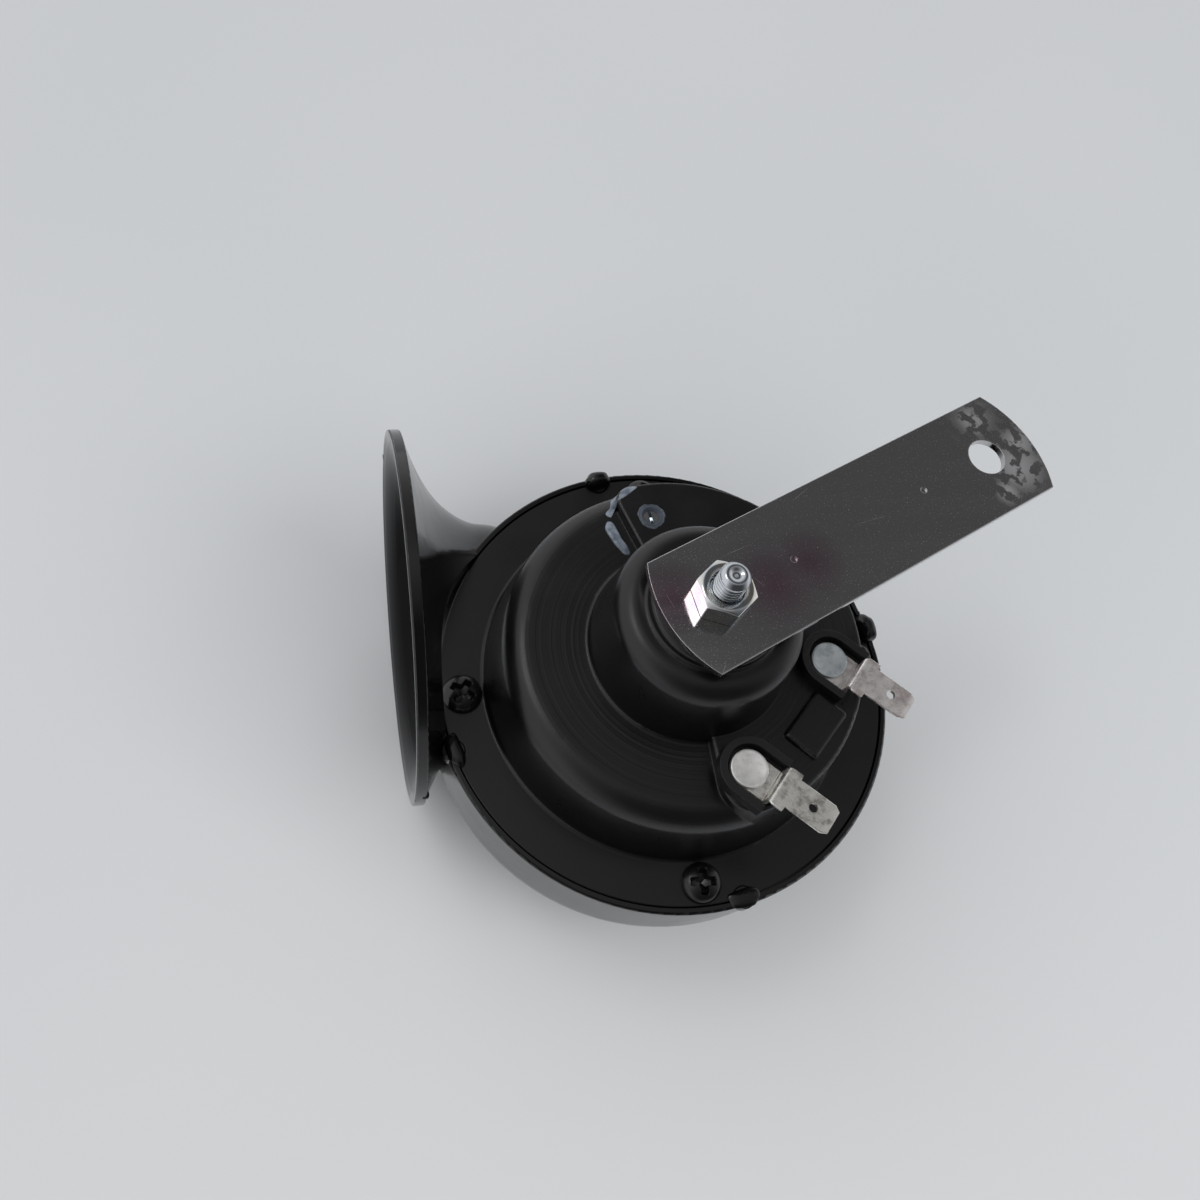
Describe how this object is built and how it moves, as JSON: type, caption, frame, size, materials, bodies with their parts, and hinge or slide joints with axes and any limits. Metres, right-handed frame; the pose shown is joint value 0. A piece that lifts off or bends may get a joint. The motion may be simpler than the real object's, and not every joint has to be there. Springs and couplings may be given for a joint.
{
  "type": "car horn",
  "caption": "Snail type electric car horn with a spiral sound duct, a flared mouth, spade terminals and a flat mounting strap clamped by a nut.",
  "frame": {"origin": "centre of the strap's mounting hole, on the strap's upper face", "axes": "+Z out of the back of the horn along the mounting hole and the stud, +X away from the mouth, so the mouth looks along -X"},
  "size_m": [0.1327, 0.1119, 0.0981],
  "materials": {
    "shell_plastic": "satin, moulded",
    "housing_paint": "satin",
    "strap_steel": "bright zinc plate",
    "zinc_steel": "zinc plate",
    "screw_black": "satin",
    "gasket_paper": "matte",
    "diaphragm_steel": "satin",
    "plain_steel": "plain",
    "bobbin_plastic": "matte",
    "copper_wire": "enamelled copper",
    "spring_bronze": "satin",
    "contact_metal": "satin",
    "insulator": "matte",
    "adjuster_plastic": "satin",
    "lacquer": "gloss",
    "tinned_metal": "tin plate"
  },
  "bodies": {
    "root": {"trumpet_shell": "shell_plastic", "trumpet_cover": "shell_plastic", "rear_housing": "housing_paint", "mounting_strap": "strap_steel", "strap_nut": "zinc_steel", "pole_core": "zinc_steel", "gasket_upper": "gasket_paper", "gasket_lower": "gasket_paper", "diaphragm": "diaphragm_steel", "diaphragm_washer_upper": "plain_steel", "diaphragm_washer_lower": "plain_steel", "armature": "plain_steel", "pole_plate": "plain_steel", "coil_bobbin": "bobbin_plastic", "coil_winding": "copper_wire", "moving_arm": "spring_bronze", "fixed_arm": "spring_bronze", "moving_contact": "contact_metal", "fixed_contact": "contact_metal", "stack_insulator_lower": "insulator", "stack_insulator_middle": "insulator", "stack_insulator_upper": "insulator", "stack_rivet": "plain_steel", "adjusting_screw": "adjuster_plastic", "locking_lacquer": "lacquer", "flange_screw_1": "screw_black", "flange_screw_2": "screw_black", "flange_screw_3": "screw_black", "flange_screw_4": "screw_black", "terminal_tray_1": "insulator", "inner_washer_1": "insulator", "terminal_rivet_1": "tinned_metal", "terminal_blade_1": "tinned_metal", "terminal_tray_2": "insulator", "inner_washer_2": "insulator", "terminal_rivet_2": "tinned_metal", "terminal_blade_2": "tinned_metal"}
  },
  "joints": []
}
